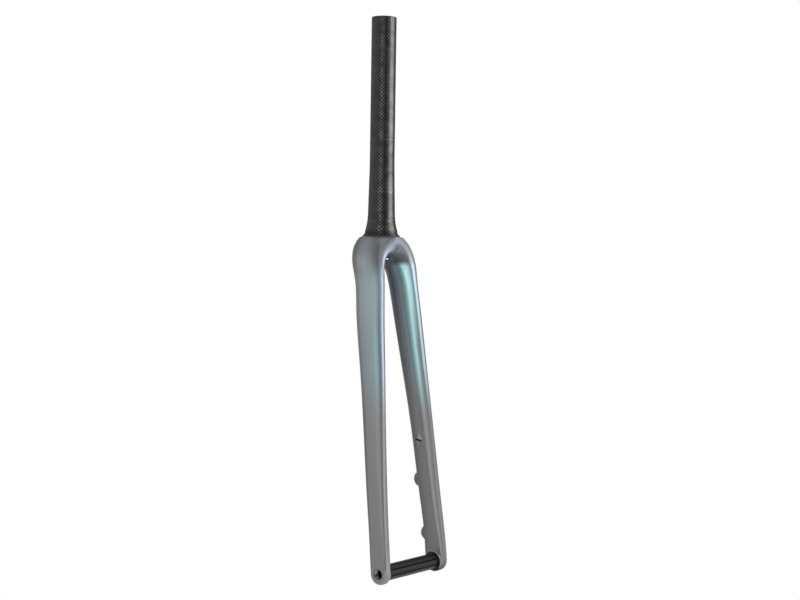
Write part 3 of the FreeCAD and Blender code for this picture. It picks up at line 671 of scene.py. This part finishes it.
def weave_material():
    # bare cloth under resin: crossing tows at 45 degrees, with painted highlights set by facing direction, a
    # light streak and a dotted row where the tows would face the lamps
    made, tree, shader = nodes_of("bare_weave")
    spot, x, y, z = place(tree)
    angle = maths(tree, "ARCTAN2", y, x)
    facing = maths(tree, "MULTIPLY_ADD", angle, 0.5 / math.pi, 0.5)
    cell = 0.0023
    across = maths(tree, "MULTIPLY", angle, 0.0159 / 0.0021)
    along = maths(tree, "MULTIPLY", z, 1 / cell)
    odd = maths(tree, "ADD", maths(tree, "FLOOR", across), maths(tree, "FLOOR", along))
    check = maths(tree, "FLOORED_MODULO", odd, 2.0)
    dull_tow_sheen = tint(tree, facing, (-180, (0.012,) * 3), (-99, (0.034,) * 3), (-77, (0.028,) * 3),
                (-66, (0.010,) * 3), (-51, (0.010,) * 3), (-38, (0.003,) * 3),
                (-24, (0.012,) * 3), (-12, (0.16,) * 3), (-2, (0.18,) * 3), (9, (0.02,) * 3),
                (30, (0.015,) * 3), (180, (0.012,) * 3))
    bright_tow_sheen = tint(tree, facing, (-180, (0.03,) * 3), (-99, (0.038,) * 3), (-77, (0.034,) * 3),
                  (-68, (0.06,) * 3), (-57, (0.14,) * 3), (-48, (0.075,) * 3),
                  (-38, (0.02,) * 3), (-24, (0.09,) * 3), (-12, (0.37,) * 3),
                  (-2, (0.41,) * 3), (10, (0.08,) * 3), (30, (0.03,) * 3), (180, (0.03,) * 3))
    noise = add(tree, "ShaderNodeTexNoise")
    noise.inputs["Scale"].default_value = 90.0
    tree.links.new(spot, noise.inputs["Vector"])
    thin = maths(tree, "MULTIPLY_ADD", noise.outputs[0], 2.4, -0.35, clamp=True)
    colour = blend(tree, maths(tree, "MULTIPLY", check, thin), dull_tow_sheen, bright_tow_sheen)
    # long soft blotches of the resin, and the ends of four plies low on the tube
    worn = maths(tree, "MULTIPLY_ADD", noise.outputs[0], 0.9, 0.55)
    edges = None
    for level in (0.124, 0.057, 0.034, 0.020):
        off = maths(tree, "ABSOLUTE", maths(tree, "SUBTRACT", z, level))
        line = maths(tree, "MULTIPLY_ADD", off, -1 / 0.0012, 1.0, clamp=True)
        edges = line if edges is None else maths(tree, "MAXIMUM", edges, line)
    patchy = maths(tree, "MULTIPLY_ADD", noise.outputs[0], 5.0, -2.0, clamp=True)
    lift = maths(tree, "MULTIPLY", maths(tree, "MULTIPLY", edges, patchy), 0.9)
    # the tube is darker over its lowest centimetre, at the foot of the flare
    foot = maths(tree, "MULTIPLY_ADD", z, 0.65 / 0.006, 0.35 - 0.65 * 4 / 6, clamp=True)
    foot = maths(tree, "MAXIMUM", foot, 0.35)
    scale = maths(tree, "MULTIPLY", maths(tree, "ADD", worn, lift), foot)
    rim = maths(tree, "LESS_THAN", z, 0.00105)
    colour = blend(tree, rim, shaded(tree, colour, scale), (0.07, 0.07, 0.075))
    tree.links.new(colour, shader.inputs["Base Color"])
    shader.inputs["Roughness"].default_value = 0.45
    shader.inputs["Specular IOR Level"].default_value = 0.12
    bump = add(tree, "ShaderNodeBump")
    bump.inputs["Strength"].default_value = 0.6
    bump.inputs["Distance"].default_value = 0.0001
    tree.links.new(check, bump.inputs["Height"])
    tree.links.new(bump.outputs[0], shader.inputs["Normal"])
    return made


def plain_material(name, colour, rough, metal=0.0, grain=0.06):
    made, tree, shader = nodes_of(name)
    spot = place(tree)[0]
    noise = add(tree, "ShaderNodeTexNoise")
    noise.inputs["Scale"].default_value = 420.0
    tree.links.new(spot, noise.inputs["Vector"])
    value = maths(tree, "MULTIPLY_ADD", noise.outputs[0], grain * 2, rough - grain)
    tree.links.new(value, shader.inputs["Roughness"])
    shader.inputs["Base Color"].default_value = (*colour, 1.0)
    shader.inputs["Metallic"].default_value = metal
    return made


paint = paint_material()
weave = weave_material()
def fluted_material():
    # black plastic, with painted shade: deeper black in the flutes
    made, tree, shader = nodes_of("black_plastic")
    spot, x, y, z = place(tree)
    ahead = maths(tree, "SUBTRACT", x, AXLE[0] * MM)
    above = maths(tree, "SUBTRACT", z, AXLE[2] * MM)
    reach = maths(tree, "SQRT", maths(tree, "ADD", maths(tree, "MULTIPLY", ahead, ahead),
                                      maths(tree, "MULTIPLY", above, above)))
    out_of_flute_shade = maths(tree, "MULTIPLY_ADD", reach, 1 / 0.0008, -0.0091 / 0.0008, clamp=True)
    colour = blend(tree, out_of_flute_shade, (0.0015,) * 3, (0.015, 0.015, 0.0155))
    tree.links.new(colour, shader.inputs["Base Color"])
    # painted shade also takes the reflection down in the flutes
    tree.links.new(maths(tree, "MULTIPLY_ADD", out_of_flute_shade, 0.22, 0.04),
                   shader.inputs["Specular IOR Level"])
    noise = add(tree, "ShaderNodeTexNoise")
    noise.inputs["Scale"].default_value = 420.0
    tree.links.new(spot, noise.inputs["Vector"])
    tree.links.new(maths(tree, "MULTIPLY_ADD", noise.outputs[0], 0.08, 0.24),
                   shader.inputs["Roughness"])
    return made


def axle_metal_material():
    # turned metal with painted light: painted highlights set by how each face tilts, and painted shade that
    # darkens it further into the bore
    made, tree, shader = nodes_of("axle_metal")
    spot, x, y, z = place(tree)
    depth = maths(tree, "SUBTRACT", (HUB + END) * MM, maths(tree, "ABSOLUTE", y))
    inside = maths(tree, "MULTIPLY_ADD", depth, 1 / 0.003, -0.0055 / 0.003, clamp=True)
    tilt = add(tree, "ShaderNodeSeparateXYZ")
    tree.links.new(add(tree, "ShaderNodeTexCoord").outputs["Normal"], tilt.inputs[0])
    lit = ramp(tree, maths(tree, "MULTIPLY_ADD", tilt.outputs[2], 0.5, 0.5),
               [(0.0, (0.10,) * 3), (0.14, (0.55,) * 3), (0.34, (0.95,) * 3),
                (0.50, (0.60,) * 3), (0.60, (0.12,) * 3), (0.80, (0.30,) * 3),
                (1.0, (0.08,) * 3)])
    colour = blend(tree, inside, lit, (0.02,) * 3)
    tree.links.new(colour, shader.inputs["Base Color"])
    shader.inputs["Metallic"].default_value = 0.8
    shader.inputs["Roughness"].default_value = 0.35
    return made


metal = plain_material("turned_aluminium", (0.60, 0.60, 0.62), 0.32, 1.0)
black = fluted_material()
axle_metal = axle_metal_material()
# black laminate, also used as painted shade in the hose port
bare = plain_material("bare_laminate_and_painted_shade", (0.006, 0.006, 0.006), 0.5)


def finish_piece(item, material, slot, *stands_for):
    item.data.materials.clear()
    item.data.materials.append(material)
    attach(item, "root")
    if stands_for:
        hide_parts(*stands_for)


finish_piece(body, paint, "carbon", "fork_body")
body.data.materials.append(bare)
for face in body.data.polygons:
    # the hub seats and the inside of every bore are left bare
    spot = np.array(face.center) / MM
    reach = math.hypot(spot[0] - AXLE[0], spot[2] - AXLE[2])
    depth = abs(spot[1])
    seat = 12.21 if spot[1] > 0 else 10.31
    flat = abs(face.normal.y) > 0.7
    if HUB - LEDGE - 0.6 < depth < HUB + 0.2 and reach < seat - (0.0 if not flat else 0.02):
        face.material_index = 1
    elif HUB + 0.2 <= depth < HUB + END - 0.7 and reach < 8.6:
        face.material_index = 1
    # painted shade: the slit under the hood's lip, the crease beside the scoop and the duct get the black
    # material to stand for the shade inside them
    rel = spot - DUCT_START
    up = rel @ UP_DUCT
    off = rel - up * UP_DUCT
    in_port = spot - MOUTH_AT
    a, deep, rise = in_port @ ACROSS, in_port @ AWAY, in_port @ RISE
    in_slit = -5.25 < a < 5.05 and -4.05 < deep < 1.2 and -2.35 < rise < 3.05
    in_crease = 4.15 < a < 5.25 and -0.1 < deep < 1.7 and -9.55 < rise < -2.0
    in_duct = np.linalg.norm(off) < 3.6 and up > MOUTH - 1
    if in_slit or in_crease or (in_duct and up < 37):
        face.material_index = 1
finish_piece(steerer, weave, "carbon")
finish_piece(plain_insert, axle_metal, "insert_metal", "plain_axle_insert")
finish_piece(brake_insert, metal, "insert_metal", "brake_axle_insert")
finish_piece(lug_inserts[0], metal, "insert_metal", "upper_lug_insert")
finish_piece(lug_inserts[1], metal, "insert_metal", "lower_lug_insert")
finish_piece(crown_insert, metal, "insert_metal", "crown_insert")
finish_piece(spacer, black, "black_plastic", "spacer")

# ---- camera ----

turn = math.radians(39.1849)
pitch = math.radians(1.84535)
roll = math.radians(0.84779)
ahead = Vector((-math.sin(turn) * math.cos(pitch), math.cos(turn) * math.cos(pitch),
                -math.sin(pitch)))
right = Vector((math.cos(turn), math.sin(turn), 0))
up = right.cross(ahead)
right_r = right * math.cos(roll) + up * math.sin(roll)
up_r = up * math.cos(roll) - right * math.sin(roll)
where = (Vector((math.sin(turn), -math.cos(turn), 0)) * 1.86187 + right * 0.025458
         + Vector((0, 0, -0.020656)))
camera_data = bpy.data.cameras.new("camera")
camera_data.sensor_width = 36.0
camera_data.lens = 1449.71 / 800 * 36.0
camera = bpy.data.objects.new("camera", camera_data)
bpy.context.scene.collection.objects.link(camera)
back = -ahead
camera.matrix_world = Matrix(((right_r.x, up_r.x, back.x, where.x),
                              (right_r.y, up_r.y, back.y, where.y),
                              (right_r.z, up_r.z, back.z, where.z),
                              (0, 0, 0, 1)))
bpy.context.scene.camera = camera

# ---- light ----


def sheet_light(name, azimuth, height, distance, wide, tall, power, aim=(0.02, 0, -0.15)):
    # soft box at a compass angle from +X round towards +Y, facing the fork
    data = bpy.data.lights.new(name, "AREA")
    data.shape = "RECTANGLE"
    data.size = wide
    data.size_y = tall
    data.energy = power
    item = bpy.data.objects.new(name, data)
    bpy.context.scene.collection.objects.link(item)
    a = math.radians(azimuth)
    spot = Vector((distance * math.cos(a), distance * math.sin(a), height))
    item.location = spot
    item.rotation_euler = (Vector(aim) - spot).to_track_quat("-Z", "Y").to_euler()
    return item


world = bpy.data.worlds.new("world")
bpy.context.scene.world = world
world.use_nodes = True
tree = world.node_tree
for node in list(tree.nodes):
    tree.nodes.remove(node)
out = add(tree, "ShaderNodeOutputWorld")
light_path = add(tree, "ShaderNodeLightPath")
seen = maths(tree, "MAXIMUM", light_path.outputs["Is Camera Ray"],
             light_path.outputs["Is Transmission Ray"])
way = add(tree, "ShaderNodeTexCoord").outputs["Generated"]
bearing, height = around(tree, way)
level = tint(tree, bearing, (-180, (0.7,) * 3), (-150, (1.1,) * 3), (-95, (1.25,) * 3),
             (-82, (1.5,) * 3), (-68, (1.5,) * 3), (-55, (1.0,) * 3), (-38, (0.4,) * 3),
             (-8, (0.4,) * 3), (8, (2.4,) * 3), (38, (2.4,) * 3), (55, (0.7,) * 3),
             (90, (0.4,) * 3), (140, (0.4,) * 3), (180, (0.7,) * 3))
soft = add(tree, "ShaderNodeBackground")
tree.links.new(level, soft.inputs["Color"])
white = add(tree, "ShaderNodeBackground")
white.inputs["Color"].default_value = (1, 1, 1, 1)
mix = add(tree, "ShaderNodeMixShader")
tree.links.new(seen, mix.inputs[0])
tree.links.new(soft.outputs[0], mix.inputs[1])
tree.links.new(white.outputs[0], mix.inputs[2])
tree.links.new(mix.outputs[0], out.inputs["Surface"])

# pale floor well under the fork, white where the camera looks at it
floor = new_mesh("floor", [(-6000, -6000, -470), (6000, -6000, -470), (6000, 6000, -470),
                           (-6000, 6000, -470)], [(0, 1, 2, 3)], smooth=False)
made, tree, shader = nodes_of("floor_white")
shader.inputs["Base Color"].default_value = (0.8, 0.8, 0.8, 1)
shader.inputs["Roughness"].default_value = 0.9
path_node = add(tree, "ShaderNodeLightPath")
glow = add(tree, "ShaderNodeEmission")
mixed = add(tree, "ShaderNodeMixShader")
tree.links.new(path_node.outputs["Is Camera Ray"], mixed.inputs[0])
tree.links.new(shader.outputs[0], mixed.inputs[1])
tree.links.new(glow.outputs[0], mixed.inputs[2])
tree.links.new(mixed.outputs[0], tree.nodes["Material Output"].inputs["Surface"])
floor.data.materials.append(made)

bpy.context.scene.view_settings.view_transform = "Standard"
